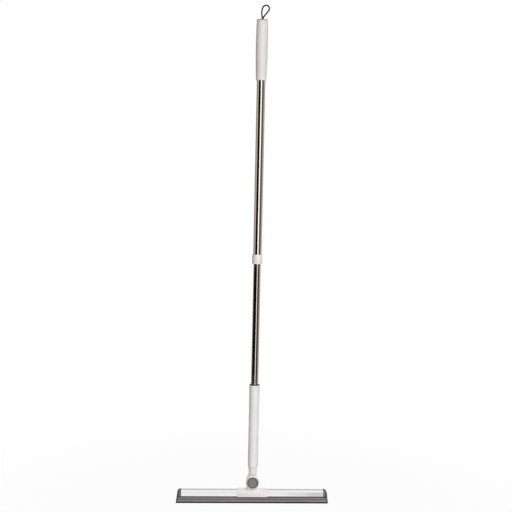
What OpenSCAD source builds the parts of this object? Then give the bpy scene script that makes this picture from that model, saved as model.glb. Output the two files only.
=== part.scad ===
// Floor squeegee: a rubber blade in an aluminium channel, on a telescopic pole with a swivel.
// Origin at the middle of the wiping edge. X runs along the blade, Z up the pole, and the
// front of the tool faces -Y. Millimetres.

/* [Blade] */
// Length of the wiping edge on the floor
blade_len = 402; // [330:1:600]
// Thickness of the wiping edge
blade_edge = 3.6; // [2.4:0.1:5]
// Height of the rubber below the channel
blade_drop = 22; // [19:0.5:30]
// Height of the thin lip above the floor
lip_h = 4.4; // [3:0.1:6]
// Radius of the lower bead
bead_lower_r = 2.8; // [2.2:0.1:3]
// Radius of the upper bead
bead_upper_r = 2.9; // [1.8:0.1:3.2]
// Height of the groove between the beads
bead_groove = 2.4; // [1:0.1:2.8]
// Inward slant of each blade end over that height
blade_slant = 3.2; // [0:0.1:6]
// Thickness over the upper bead
bead_upper = 15.6; // [13:0.1:17]
// Thickness over the lower bead
bead_lower = 13.4; // [11:0.1:15]

/* [Channel] */
// Thickness of the channel, front to back
channel_depth = 22; // [21:0.5:26]
// Width of the channel's flat top
channel_top = 12; // [9:0.5:14]
// Height of the channel
channel_h = 14.8; // [14:0.1:26]
// Height of the channel's upright front
channel_upright = 10.2; // [10:0.1:12]
// Wall of the channel
channel_wall = 1.4; // [1:0.1:1.8]
// Depth of the fine line along the channel
line_depth = 0.5; // [0.2:0.1:0.8]

/* [End caps] */
// Distance from the channel's end to the blade's tip
cap_inset = 14; // [13:0.5:20]
// Length of each cap beyond the channel, at its foot
cap_len = 11; // [9:0.1:15]
// How far the caps stand proud of the channel
cap_proud = 1; // [0.4:0.1:1.6]
// Width of the caps' flange against the channel
flange_w = 3.5; // [2:0.1:4.5]
// Width of the groove round the caps, outside the flange
groove_w = 3; // [0.6:0.1:4]
// Depth of that groove
groove_deep = 0.65; // [0.3:0.05:1]
// Radius of the caps' top corner
cap_corner = 7.5; // [4:0.5:9]
// Length of the cap's plug inside the channel
cap_plug = 18; // [8:1:40]

/* [Saddle bracket] */
// Length of the saddle along the channel
saddle_len = 82; // [70:1:110]
// Wall of the saddle
saddle_wall = 2; // [1.6:0.1:3]
// Radius of the saddle's corners
saddle_corner = 4; // [1:0.5:6]
// Radius of the front ear
ear_r = 18; // [16.5:0.5:21]
// Width of the ears' stems on the saddle
ear_foot = 31; // [26:0.5:34]
// Thickness of each ear
ear_t = 4.6; // [4:0.1:5]
// Height of the pivot above the saddle
pivot_rise = 21.05; // [15:0.05:28]

/* [Pivot] */
// Diameter of the pivot bolt
bolt_d = 6; // [5:0.5:7]
// Thickness of the tongue
tongue_t = 11; // [9:0.5:11]
// Radius of the tongue's eye
eye_r = 13; // [11:0.5:14]
// Thickness of each friction washer
friction_t = 0.8; // [0.6:0.1:1.2]
// Diameter of the disc caps
disc_d = 30; // [27:0.5:32]
// Thickness of the disc caps
disc_t = 7; // [6.8:0.1:9]
// Depth of the dish in the disc caps
dish_depth = 0.8; // [0.2:0.1:0.9]

/* [Lower pole] */
// Diameter of the neck above the pivot
neck_d = 21.4; // [19:0.2:22]
// Diameter of the sleeve at its ends
sleeve_d = 27; // [26:0.2:27.6]
// Diameter of the sleeve at its waist
sleeve_waist = 26.2; // [25:0.2:27]
// Length of the sleeve
sleeve_len = 224.5; // [160:0.5:240]
// Bare height of the neck, from the ears to the sleeve
neck_bare = 14; // [8:0.5:20]
// Outside diameter of the lower tube
lower_od = 19; // [18.8:0.1:19.1]
// Wall of the lower tube
lower_wall = 0.6; // [0.5:0.1:0.8]
// Bare length of the lower tube, from the sleeve's ring to the collar
lower_bare = 315.5; // [200:0.5:400]
// Height of the dark ring above the sleeve
ring_h = 1.5; // [1.5:0.5:4]

/* [Upper pole] */
// Outside diameter of the upper tube
upper_od = 22; // [21.9:0.1:22.3]
// Wall of the upper tube
upper_wall = 0.5; // [0.4:0.1:0.5]
// Diameter of the collar
collar_d = 26; // [25:0.5:30]
// Height of the collar
collar_h = 24.5; // [18:0.5:40]
// Bare length of the upper tube, from the collar to the grip
upper_bare = 444; // [350:1:600]
// Length of the grip
grip_len = 146.5; // [110:0.5:180]
// Diameter of the grip at its foot
grip_foot_d = 26.5; // [25:0.5:30]
// Diameter of the grip at its head
grip_head_d = 28.6; // [28:0.2:32]
// Swell of the grip's radius over its middle
grip_swell = 1.4; // [0:0.1:3]
// Height of the grip's end cap
end_cap_h = 6; // [5:0.5:10]
// Radius of the end cap's top edge
end_cap_round = 1.6; // [0.8:0.2:3.4]

/* [Cam lock] */
// How far the lower tube reaches into the upper tube
tube_overlap = 40.5; // [30:0.5:80]
// Offset of the journal from the pole's axis
cam_offset = 0.8; // [0.4:0.1:0.9]
// Diameter of the journal
journal_d = 10; // [8:0.5:11]
// Length of the journal
journal_len = 16; // [10:1:24]

/* [Hanging loop] */
// Diameter of the cord
cord_d = 3.6; // [2:0.2:3.8]
// Number of flat sides on the cord
cord_sides = 8; // [6:1:12]

/* [Fits] */
// Gap between pieces that are fixed together
fixed_gap = 0.05; // [0.03:0.01:0.1]
// Gap of a turning fit
turn_gap = 0.05; // [0.02:0.01:0.08]
// Gap between pieces that slide past each other
slide_gap = 0.35; // [0.3:0.05:0.4]

/* [Hidden] */
$fn = 72;
WHITE = [0.88, 0.87, 0.86];
STEEL = [0.75, 0.74, 0.72];
ALUMINIUM = [0.82, 0.83, 0.84];
GREY_RUBBER = [0.42, 0.42, 0.43];
GREY_PLASTIC = [0.40, 0.40, 0.41];
BLACK = [0.10, 0.10, 0.11];
NYLON = [0.80, 0.78, 0.70];
CORD_GREY = [0.18, 0.18, 0.19];

// Heights of the head
channel_z = blade_drop;
channel_top_z = channel_z + channel_h;
upright_z = channel_z + channel_upright;
web_z = channel_z + 5.2;
saddle_z = channel_z - 1.5;
saddle_gap = 0.15;
saddle_top_z = channel_top_z + saddle_gap + saddle_wall;
pivot_z = saddle_top_z + pivot_rise;
channel_half = channel_depth / 2;
top_half = channel_top / 2;
channel_slope = (channel_half - top_half) / (channel_top_z - upright_z);
channel_len = blade_len - 2 * cap_inset;
slot_half = 3.4;
root_gap = 0.2;
blade_half = blade_len / 2;
screw_x = 30;
screw_r = 1.5;
screw_head_r = 2.6;
screw_z = web_z + channel_wall + screw_r + 0.25;

// Distances along the pivot, from the middle of the tongue
ear_in = tongue_t / 2 + friction_t + 2 * fixed_gap;
ear_out = ear_in + ear_t;
bolt_r = bolt_d / 2;
bush_r = bolt_r + 2;
washer_t = 0.8;
head_h = 3.6;
disc_r = disc_d / 2;
rear_ear_r = disc_r + 0.6;
snap_r = disc_r - 1.4;
snap_w = 1.4;
snap_h = 1.2;

// Heights of the pole
neck_r = neck_d / 2;
shoulder_z = pivot_z + ear_r + 0.8;
sleeve_z = pivot_z + ear_r + neck_bare;
neck_top_z = sleeve_z + 5;
sleeve_top_z = sleeve_z + sleeve_len;
collar_z = sleeve_top_z + ring_h + lower_bare;
upper_z = collar_z + 4;
grip_z = collar_z + collar_h + upper_bare;
grip_top_z = grip_z + grip_len;
cap_top_z = grip_top_z + end_cap_h;
upper_top_z = grip_top_z - 6;
lower_top_z = upper_z + tube_overlap;
lower_r = lower_od / 2;
lower_bore = lower_r - lower_wall;
upper_r = upper_od / 2;
upper_bore = upper_r - upper_wall;
guide_r = lower_r + slide_gap;
spigot_len = 50;
rivet_z = neck_top_z + 28;
rivet_r = 2;
flange_h = 3;
journal_z = lower_top_z + flange_h;
journal_top_z = journal_z + journal_len;
cord_hole_r = cord_d / 2 + 2.2;
knot_z = grip_top_z - 5;

// Route of the loop's middle line: right of the pole's axis, behind it, and above the cap
LOOP = [
  [-0.6, -1.75, 0], [-0.6, -1.75, 3.2], [-0.8, -1.6, 6.6], [-1.7, -1.4, 10.6], [-1.9, -1.2, 15],
  [-1.9, -0.9, 19.3], [-1.6, -0.75, 23.2], [-0.9, -0.6, 27.2], [1, -0.45, 31.1],
  [4, -0.3, 34.7], [8.4, -0.1, 36.3], [12.9, 0.1, 35.4], [15.8, 0.3, 32.7], [16.9, 0.45, 29],
  [16.6, 0.6, 25.6], [14.9, 0.75, 22.2], [12.2, 0.9, 18.8], [9, 1.05, 15], [5.8, 1.2, 11],
  [3, 1.5, 7.2], [1.6, 1.75, 4], [1.1, 1.75, 0]
];

// Points of an arc
function arc(c, r, from, to, n) =
  [for (i = [0:n]) let (a = from + (to - from) * i / n) [c[0] + r * cos(a), c[1] + r * sin(a)]];

// A half outline and its mirror image, as one closed outline
function both(half) =
  concat(half, [for (i = [len(half) - 1:-1:0]) [-half[i][0], half[i][1]]]);

// A half outline moved outward by a gap, for the channel's upright front, slope and flat top
function shell_outline(gap) =
  let (lean = sqrt(1 + channel_slope * channel_slope))
  [[channel_half + gap, upright_z + gap * (lean - 1) / channel_slope],
    [top_half + gap * (lean - channel_slope), channel_top_z + gap]];

// The channel's slope at a height
function slope_y(z) = channel_half - (z - upright_z) * channel_slope;

// Radius of the grip at a fraction of its length
function grip_r(t) =
  (grip_foot_d + (grip_head_d - grip_foot_d) * t) / 2 + 4 * grip_swell * t * (1 - t);

// A flat outline in Y and Z, drawn out along X
module along_x(len) {
  rotate([90, 0, 90]) linear_extrude(height = len, center = true) children();
}

// A flat outline in X and Z, drawn out along Y
module along_y(len) {
  rotate([90, 0, 0]) linear_extrude(height = len, center = true) children();
}

// Places a piece on the pivot, with its own +Z towards the front or the rear
module on_pivot(side) {
  translate([0, 0, pivot_z]) rotate([90 * side, 0, 0]) children();
}

// A round ring
module ring(r_out, r_in, z0, z1) {
  rotate_extrude() polygon([[r_in, z0], [r_out, z0], [r_out, z1], [r_in, z1]]);
}

// The blade's outline from its edge up to its root
module blade_outline() {
  edge = blade_edge / 2;
  root = channel_half - channel_wall - root_gap;
  root_z = channel_z + channel_wall + root_gap;
  foot = [[edge, 0], [edge + 0.2, lip_h - 0.6]];
  low_z = lip_h + bead_lower_r;
  groove_z = low_z + bead_lower_r;
  high_z = groove_z + bead_groove + bead_upper_r;
  stem = bead_upper / 2 - bead_upper_r;
  lower = arc([bead_lower / 2 - bead_lower_r, low_z], bead_lower_r, -80, 80, 8);
  upper = arc([stem, high_z], bead_upper_r, -75, 80, 8);
  top = [[stem, channel_z - fixed_gap], [slot_half - root_gap, channel_z - fixed_gap],
    [slot_half - root_gap, root_z], [root, root_z], [root, web_z - root_gap]];
  polygon(both(concat(foot, lower, [[edge + 2.2, groove_z + 0.4],
    [edge + 2.2, groove_z + bead_groove - 0.4]], upper, top)));
}

module wiper_blade() {
  shoulder = blade_half - blade_slant;
  root = channel_len / 2;
  color(GREY_RUBBER) intersection() {
    along_x(blade_len) blade_outline();
    along_y(channel_depth * 2) polygon(both([[blade_half, 0], [shoulder, channel_z - fixed_gap],
      [root, channel_z - fixed_gap], [root, web_z]]));
  }
}

// The channel's outside, with the fine line where the front starts to slope
module channel_outline() {
  polygon(both([[channel_half, channel_z], [channel_half, upright_z - 0.6],
    [channel_half - line_depth, upright_z - 0.1], [slope_y(upright_z + 0.5), upright_z + 0.5],
    [top_half, channel_top_z]]));
}

// The hollow above the channel's web
module chamber_outline(gap) {
  wall = channel_wall + gap;
  low_z = web_z + channel_wall + gap;
  across = wall * sqrt(1 + channel_slope * channel_slope);
  top_z = channel_top_z - wall;
  bend_z = upright_z - (across - wall) / channel_slope;
  polygon(both([[channel_half - wall, low_z], [channel_half - wall, bend_z],
    [slope_y(top_z) - across, top_z]]));
}

module head_channel() {
  inside = channel_half - channel_wall;
  color(ALUMINIUM) difference() {
    along_x(channel_len) channel_outline();
    along_x(channel_len + 2) chamber_outline(0);
    along_x(channel_len + 2) polygon(both([[inside, channel_z + channel_wall], [inside, web_z]]));
    along_x(channel_len + 2) polygon(both([[slot_half, channel_z - 1],
      [slot_half, channel_z + channel_wall + 1]]));
    for (x = [-screw_x, screw_x])
      translate([x, channel_half + 1, screw_z]) rotate([90, 0, 0])
        cylinder(r = screw_r + fixed_gap, h = channel_wall + 2);
  }
}

// A length of an end cap from x0 to x1, which stands proud of the channel
module cap_slice(x0, x1, proud) {
  start = channel_len / 2 + fixed_gap;
  foot = start + cap_len;
  top = foot - 1.4;
  top_z = channel_top_z + proud;
  half = channel_half + proud;
  z0 = channel_z + 0.1;
  intersection() {
    along_x(channel_len * 2) polygon(both(concat([[half, z0]], shell_outline(proud))));
    along_y(channel_depth * 2) polygon(concat([[start, z0], [foot, z0]],
      arc([top - cap_corner, top_z - cap_corner], cap_corner, 6, 90, 8), [[start, top_z]]));
    linear_extrude(height = top_z + 10) polygon(concat([[start, -half]],
      arc([foot - 7, -half + 7], 7, -90, 0, 6), arc([foot - 7, half - 7], 7, 0, 90, 6),
      [[start, half]]));
    translate([x0, -channel_depth, 0]) cube([x1 - x0, channel_depth * 2, top_z * 2]);
  }
}

// One end cap, with its outer end towards +X: a flange, a groove round it and an outer lobe
module end_cap() {
  start = channel_len / 2 + fixed_gap;
  waist = start + flange_w;
  lobe = waist + groove_w;
  color(GREY_PLASTIC) union() {
    cap_slice(start, waist, cap_proud);
    cap_slice(waist - 1, lobe + 1, cap_proud - groove_deep);
    cap_slice(lobe, start + cap_len + 1, cap_proud);
    translate([start - cap_plug / 2 + 0.5, 0, 0]) along_x(cap_plug + 1) chamber_outline(root_gap);
  }
}

module end_cap_right() {
  end_cap();
}

module end_cap_left() {
  mirror([1, 0, 0]) end_cap();
}

// The saddle's outside, before its corners are rounded
module saddle_body() {
  half = saddle_len / 2;
  r = saddle_corner;
  reach = channel_half + saddle_gap + saddle_wall;
  intersection() {
    along_x(saddle_len) polygon(both(concat([[reach, saddle_z]],
      shell_outline(saddle_gap + saddle_wall))));
    along_y(channel_depth * 2) polygon(both(concat(arc([half - r, saddle_z + r], r, -90, 0, 6),
      arc([half - r, saddle_top_z - r], r, 0, 90, 6))));
  }
}

// An ear's outline: a round head on a stem that is no wider
module ear_outline(r) {
  foot = min(ear_foot / 2, r - 0.2);
  low = acos(foot / r);
  polygon(concat([[-foot, upright_z], [foot, upright_z]],
    arc([0, pivot_z], r, -low, 180 + low, 48)));
}

module saddle_bracket() {
  mid = ear_in + ear_t / 2;
  lip_half = channel_half - 1.8;
  color(WHITE) difference() {
    union() {
      saddle_body();
      translate([0, -mid, 0]) along_y(ear_t) ear_outline(ear_r);
      translate([0, mid, 0]) along_y(ear_t) ear_outline(rear_ear_r);
    }
    along_x(saddle_len + 2) polygon(both(concat([[lip_half, saddle_z - 1],
      [lip_half, channel_z - saddle_gap], [channel_half + saddle_gap, channel_z - saddle_gap]],
      shell_outline(saddle_gap))));
    translate([0, 0, pivot_z]) rotate([90, 0, 0])
      cylinder(r = bolt_r + fixed_gap, h = 60, center = true);
    for (s = [-1, 1]) on_pivot(s) ring(snap_r + fixed_gap, snap_r - snap_w - fixed_gap,
      ear_out - snap_h - fixed_gap, ear_out + 1);
    for (x = [-screw_x, screw_x])
      translate([x, channel_half + 8, screw_z]) rotate([90, 0, 0])
        cylinder(r = screw_r + fixed_gap, h = 10);
  }
}

module bracket_screws() {
  face = channel_half + saddle_gap + saddle_wall;
  color(STEEL) for (x = [-screw_x, screw_x])
    translate([x, face, screw_z]) rotate([90, 0, 0]) difference() {
      rotate_extrude() polygon([[0, -1.7], [1.5, -1.7], [screw_head_r, -0.8],
        [screw_head_r, 0], [screw_r, 0], [screw_r, 6], [0, 7.5]]);
      for (turn = [0, 90]) rotate(turn) translate([-1.4, -0.3, -3]) cube([2.8, 0.6, 2.2]);
    }
}

module pivot_bolt() {
  seat = ear_out + washer_t + fixed_gap;
  color(STEEL) on_pivot(1) difference() {
    rotate_extrude() polygon([[0, -seat - 4.3], [bolt_r - 0.4, -seat - 4.3],
      [bolt_r, -seat - 3.9], [bolt_r, seat], [5.2, seat], [5.2, seat + 2.6], [4, seat + head_h],
      [0, seat + head_h]]);
    translate([0, 0, seat + 1.2]) cylinder(r = 2.3, h = 4, $fn = 6);
  }
}

module pivot_nut() {
  color(STEEL) on_pivot(-1) difference() {
    translate([0, 0, ear_out + washer_t + fixed_gap]) cylinder(r = 5.77, h = 4, $fn = 6);
    cylinder(r = bolt_r + fixed_gap, h = 40);
  }
}

module bolt_washers() {
  color(STEEL) for (s = [-1, 1]) on_pivot(s)
    ring(6, bolt_r + 0.2, ear_out, ear_out + washer_t);
}

module friction_washers() {
  z0 = tongue_t / 2 + fixed_gap;
  color(NYLON) for (s = [-1, 1]) on_pivot(s) ring(eye_r - 1, bolt_r + 0.2, z0, z0 + friction_t);
}

// One disc cap: a dished cover over the bolt, with a ring that snaps into the ear
module disc_cap(side) {
  base = ear_out + fixed_gap;
  rim = ear_out + disc_t;
  hollow_z = rim - dish_depth - 0.9;
  color(GREY_PLASTIC) on_pivot(side) rotate_extrude() polygon(concat(
    [[snap_r - snap_w, ear_out - snap_h], [snap_r, ear_out - snap_h], [snap_r, base], [disc_r, base]],
    arc([disc_r - 1.6, rim - 1.6], 1.6, 0, 90, 5),
    [[disc_r - 3.2, rim], [disc_r - 4, rim - dish_depth], [disc_r - 8.2, rim - dish_depth],
      [disc_r - 8.7, rim - dish_depth - 0.3], [disc_r - 9.7, rim - dish_depth - 0.3],
      [disc_r - 10.2, rim - dish_depth], [0, rim - dish_depth], [0, hollow_z],
      [snap_r - snap_w - 3, hollow_z], [snap_r - snap_w, hollow_z - 1.5]]));
}

module pivot_cap_front() {
  disc_cap(1);
}

module pivot_cap_rear() {
  disc_cap(-1);
}

module swivel_neck() {
  tongue = tongue_t / 2;
  color(WHITE) difference() {
    union() {
      intersection() {
        translate([0, 0, pivot_z]) cylinder(r = neck_r, h = neck_top_z - pivot_z);
        along_x(neck_d * 2) polygon(both([[tongue, pivot_z - 1], [tongue, shoulder_z],
          [neck_r + 1, shoulder_z + 1.2], [neck_r + 1, neck_top_z + 1]]));
      }
      translate([0, tongue, pivot_z]) rotate([90, 0, 0]) cylinder(r = eye_r, h = tongue_t);
      translate([0, 0, neck_top_z - 1])
        cylinder(r = lower_bore - fixed_gap, h = spigot_len + 1);
    }
    translate([0, 0, pivot_z]) rotate([90, 0, 0])
      cylinder(r = bush_r + fixed_gap, h = 60, center = true);
    translate([0, 0, rivet_z]) rotate([0, 90, 0])
      cylinder(r = rivet_r + fixed_gap, h = 60, center = true);
  }
}

module pivot_bush() {
  color(NYLON) on_pivot(1) ring(bush_r, bolt_r + turn_gap, -tongue_t / 2, tongue_t / 2);
}

// The sleeve: a shell that meets the tube at three guide rings
module lower_sleeve() {
  end_r = sleeve_d / 2;
  waist_r = sleeve_waist / 2;
  seat = lower_r + fixed_gap;
  hollow = end_r - 2.3;
  neck_bore = neck_r + fixed_gap;
  mid_z = (sleeve_z + sleeve_top_z) / 2;
  outside = [[neck_bore, sleeve_z], [neck_bore + 0.3, sleeve_z], [neck_bore + 0.8, sleeve_z + 3.4],
    [end_r - 1.1, sleeve_z + 6.6], [end_r - 0.55, sleeve_z + 9], [end_r - 0.2, sleeve_z + 12],
    [end_r - 0.1, sleeve_z + 15], [end_r - 0.1, sleeve_z + 52], [waist_r, sleeve_z + 68],
    [waist_r, sleeve_top_z - 52], [end_r, sleeve_top_z - 36], [end_r, sleeve_top_z - 1.2],
    [end_r - 0.4, sleeve_top_z - 0.3], [end_r - 1, sleeve_top_z]];
  mouth = [[hollow, sleeve_top_z], [hollow, sleeve_top_z - 3.2], [seat, sleeve_top_z - 3.2],
    [seat, sleeve_top_z - 10], [hollow, sleeve_top_z - 12]];
  middle = [[hollow, mid_z + 5], [seat, mid_z + 3], [seat, mid_z - 3], [hollow, mid_z - 5]];
  foot = [[hollow, sleeve_z + 16], [seat, sleeve_z + 14], [seat, neck_top_z + 1.5],
    [neck_bore, neck_top_z + 0.5]];
  color(WHITE) rotate_extrude() polygon(concat(outside, mouth, middle, foot));
}

module mouth_ring() {
  seat = lower_r + fixed_gap;
  outer = sleeve_d / 2 - 0.7;
  sunk = sleeve_d / 2 - 2.3 - fixed_gap;
  color(BLACK) rotate_extrude() polygon([[seat, sleeve_top_z - 3.1], [sunk, sleeve_top_z - 3.1],
    [sunk, sleeve_top_z + fixed_gap], [outer, sleeve_top_z + fixed_gap],
    [outer, sleeve_top_z + ring_h - 0.8], [outer - 0.8, sleeve_top_z + ring_h],
    [seat, sleeve_top_z + ring_h]]);
}

module lower_tube() {
  z0 = neck_top_z + 0.2;
  color(STEEL) difference() {
    ring(lower_r, lower_bore, z0, lower_top_z);
    translate([0, 0, rivet_z]) rotate([0, 90, 0])
      cylinder(r = rivet_r + fixed_gap, h = 60, center = true);
  }
}

module tube_rivet() {
  seat = lower_r + fixed_gap;
  color(STEEL) translate([0, 0, rivet_z]) rotate([0, 90, 0]) rotate_extrude()
    polygon([[0, -seat - 0.9], [2.4, -seat - 0.9], [3.1, -seat], [rivet_r, -seat],
      [rivet_r, seat], [3.1, seat], [2.4, seat + 0.9], [0, seat + 0.9]]);
}

module cam_plug() {
  seat = lower_top_z + fixed_gap;
  color(NYLON) difference() {
    union() {
      rotate_extrude() polygon([[0, lower_top_z - 24], [lower_bore - 1, lower_top_z - 24],
        [lower_bore - fixed_gap, lower_top_z - 23], [lower_bore - fixed_gap, seat],
        [upper_bore - 0.4, seat], [upper_bore - 0.4, journal_z], [0, journal_z]]);
      translate([cam_offset, 0, journal_z - 1]) cylinder(d = journal_d, h = journal_len + 1);
    }
    translate([cam_offset, 0, journal_top_z - 13]) cylinder(r = 1.5 + fixed_gap, h = 14);
  }
}

module cam_ring() {
  bore_r = journal_d / 2 + 0.6;
  color(BLACK) translate([0, 0, journal_z + 0.3]) difference() {
    cylinder(r = upper_bore - 0.3, h = journal_len - 0.6);
    translate([cam_offset, 0, -1]) cylinder(r = bore_r, h = journal_len + 2);
    translate([-upper_r, -1.5, -1]) cube([upper_r, 3, journal_len + 2]);
  }
}

module cam_retainer() {
  color(NYLON) difference() {
    translate([0, 0, journal_top_z + fixed_gap]) cylinder(r = upper_bore - 0.9, h = 2.5);
    translate([cam_offset, 0, journal_top_z - 1]) cylinder(r = 1.5 + fixed_gap, h = 5);
  }
}

module cam_screw() {
  seat = journal_top_z + 2.5 + 2 * fixed_gap;
  color(STEEL) translate([cam_offset, 0, seat]) difference() {
    rotate_extrude() polygon([[0, -14], [1.5, -12.5], [1.5, 0], [3, 0], [3, 1.2], [1.8, 2.2],
      [0, 2.2]]);
    for (turn = [0, 90]) rotate(turn) translate([-1.5, -0.35, 1]) cube([3, 0.7, 3]);
  }
}

module pole_collar() {
  r = collar_d / 2;
  top = collar_z + collar_h;
  seat = upper_r + fixed_gap;
  color(WHITE) rotate_extrude() polygon(concat([[guide_r, collar_z]],
    arc([r - 1.2, collar_z + 1.2], 1.2, -90, 0, 4), arc([r - 1.2, top - 1.2], 1.2, 0, 90, 4),
    [[seat, top], [seat, upper_z - fixed_gap], [guide_r, upper_z - fixed_gap]]));
}

module guide_bush() {
  color(NYLON) ring(upper_bore - fixed_gap, guide_r, upper_z, lower_top_z - 0.5);
}

module upper_tube() {
  color(STEEL) ring(upper_r, upper_bore, upper_z, upper_top_z);
}

module hand_grip() {
  steps = 24;
  seat = upper_r + fixed_gap;
  side = [for (i = [0:steps]) let (t = i / steps)
    [grip_r(t), grip_z + 1.2 + t * (grip_len - 1.6)]];
  color(WHITE) rotate_extrude() polygon(concat(
    [[seat, grip_z], [grip_foot_d / 2 - 1, grip_z]], side,
    [[grip_head_d / 2 - 0.6, grip_top_z], [seat, grip_top_z]]));
}

module grip_end_cap() {
  r = grip_head_d / 2 - 0.3;
  z0 = grip_top_z + fixed_gap;
  plug_r = upper_bore - fixed_gap;
  plug_z = grip_top_z - 22;
  color(WHITE) rotate_extrude() polygon(concat([[8, plug_z], [plug_r, plug_z], [plug_r, z0],
    [r - 0.4, z0], [r, z0 + 0.4]], arc([r - end_cap_round, cap_top_z - end_cap_round],
      end_cap_round, 0, 90, 6),
    [[cord_hole_r + 0.6, cap_top_z], [cord_hole_r, cap_top_z - 0.6], [cord_hole_r, knot_z],
      [8, knot_z]]));
}

// The loop's middle line, smoothed between the points of its route
function spline(a, b, c, d, t) = 0.5 * (2 * b + (c - a) * t + (2 * a - 5 * b + 4 * c - d) * t * t
  + (3 * b - a - 3 * c + d) * t * t * t);
function loop_line() =
  let (n = len(LOOP), a = LOOP[0], b = LOOP[n - 1], low = knot_z - cap_top_z)
  let (p = concat([[a[0], a[1], -6]], LOOP, [[b[0], b[1], -6]]))
  concat([[a[0], a[1], low]],
    [for (i = [1:n - 1], k = [0:3]) spline(p[i - 1], p[i], p[i + 1], p[i + 2], k / 4)],
    [b, [b[0], b[1], low]]);

module hanging_loop() {
  line = [for (q = loop_line()) q + [0, 0, cap_top_z]];
  n = len(line);
  s = cord_sides;
  heading = [for (i = [0:n - 1]) let (d = line[min(i + 1, n - 1)] - line[max(i - 1, 0)])
    i == 0 ? [0, 0, 1] : i == n - 1 ? [0, 0, -1] : d / norm(d)];
  across = [for (h = heading) [h[2], 0, -h[0]] / norm([h[2], h[0]])];
  points = [for (i = [0:n - 1], k = [0:s - 1]) let (a = 360 * k / s)
    line[i] + cord_d / 2 * (cos(a) * across[i] + sin(a) * cross(heading[i], across[i]))];
  walls = [for (i = [0:n - 2], k = [0:s - 1]) let (j = (k + 1) % s)
    [i * s + k, (i + 1) * s + k, (i + 1) * s + j, i * s + j]];
  color(CORD_GREY) polyhedron(points, concat(walls, [[for (k = [0:s - 1]) k]],
    [[for (k = [s - 1:-1:0]) (n - 1) * s + k]]));
}

module loop_knot() {
  top = knot_z - fixed_gap;
  color(CORD_GREY) rotate_extrude() polygon(concat([[0, top - 9], [3, top - 9]],
    arc([3.2, top - 6.4], 2.6, -80, 46, 6), arc([3.2, top - 2.6], 2.6, -46, 80, 6),
    [[3.4, top], [0, top]]));
}

wiper_blade();
head_channel();
end_cap_left();
end_cap_right();
saddle_bracket();
bracket_screws();
pivot_bolt();
pivot_nut();
bolt_washers();
friction_washers();
pivot_cap_front();
pivot_cap_rear();
swivel_neck();
pivot_bush();
lower_sleeve();
mouth_ring();
lower_tube();
tube_rivet();
cam_plug();
cam_ring();
cam_retainer();
cam_screw();
pole_collar();
guide_bush();
upper_tube();
hand_grip();
grip_end_cap();
hanging_loop();
loop_knot();
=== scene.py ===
"""Dresses the floor squeegee: its finishes, the cord loop, the camera, the light and the stage.

Lengths are metres in the part's own frame, unless a docstring says millimetres. X runs along the
blade, Z up the pole, and the front of the tool faces -Y.
"""

import logging
import math
from dataclasses import dataclass, replace
from enum import Enum
from functools import cache
from typing import Any, Iterable, Optional, Sequence, Tuple

import bmesh
import bpy
import numpy as np
from mathutils import Matrix, Vector


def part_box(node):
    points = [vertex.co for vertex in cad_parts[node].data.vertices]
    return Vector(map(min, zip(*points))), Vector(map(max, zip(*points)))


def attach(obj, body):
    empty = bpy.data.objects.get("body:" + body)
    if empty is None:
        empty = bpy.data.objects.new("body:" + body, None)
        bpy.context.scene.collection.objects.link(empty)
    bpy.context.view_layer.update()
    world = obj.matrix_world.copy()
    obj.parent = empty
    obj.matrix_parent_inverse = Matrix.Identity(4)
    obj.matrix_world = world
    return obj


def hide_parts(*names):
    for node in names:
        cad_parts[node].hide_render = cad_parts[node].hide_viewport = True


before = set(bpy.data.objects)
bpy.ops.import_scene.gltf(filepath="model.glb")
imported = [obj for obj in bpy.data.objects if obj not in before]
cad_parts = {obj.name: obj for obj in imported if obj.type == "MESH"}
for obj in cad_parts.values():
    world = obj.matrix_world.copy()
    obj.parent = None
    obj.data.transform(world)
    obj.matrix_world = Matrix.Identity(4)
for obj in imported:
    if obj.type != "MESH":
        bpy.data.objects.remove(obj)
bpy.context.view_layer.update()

log = logging.getLogger("squeegee")

Colour = Tuple[float, float, float]
Point = Tuple[float, float, float]
Pairs = Tuple[Tuple[float, float], ...]
Socket = bpy.types.NodeSocket
MM = 0.001
PIVOT_HEIGHT = 60.0 * MM
BLADE_HALF = 201.0 * MM
# The camera's sensor in millimetres, and the photograph's width in pixels.
SENSOR_WIDTH = 36.0
FRAME_WIDTH = 512.0
# Metres of cord for each unit of its V coordinate.
CORD_PER_V = 0.1
# Points nearer than this are one point, flatter edges are none, and sharper ones are rounded.
SAME_POINT = 0.001 * MM
FLAT_ANGLE = math.radians(0.5)
SHARP_ANGLE = math.radians(32.0)


class Slot(Enum):
    """The part's material slots."""

    WHITE_PLASTIC = "white_plastic"
    STAINLESS = "stainless"
    FASTENER = "fastener_steel"
    ALUMINIUM = "aluminium"
    GREY_RUBBER = "grey_rubber"
    GREY_PLASTIC = "grey_plastic"
    BLACK_RUBBER = "black_rubber"
    INNER_NYLON = "inner_nylon"
    BLACK_NYLON = "black_nylon"
    CORD = "cord"


class Body(Enum):
    """The bodies that new pieces ride on."""

    UPPER = "upper_pole"
    LOWER = "lower_pole"
    HEAD = "head"


class Axis(Enum):
    """The direction that fine lines run in."""

    ALONG_BLADE = 0
    UP_POLE = 2


class Measure(Enum):
    """What tells where a mark lies on a surface."""

    HEIGHT = "height above the floor"
    ALONG_HEAD = "distance from the head's middle"
    FROM_POLE = "distance from the pole's axis"
    FROM_PIVOT = "distance from the pivot's axis"


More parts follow.
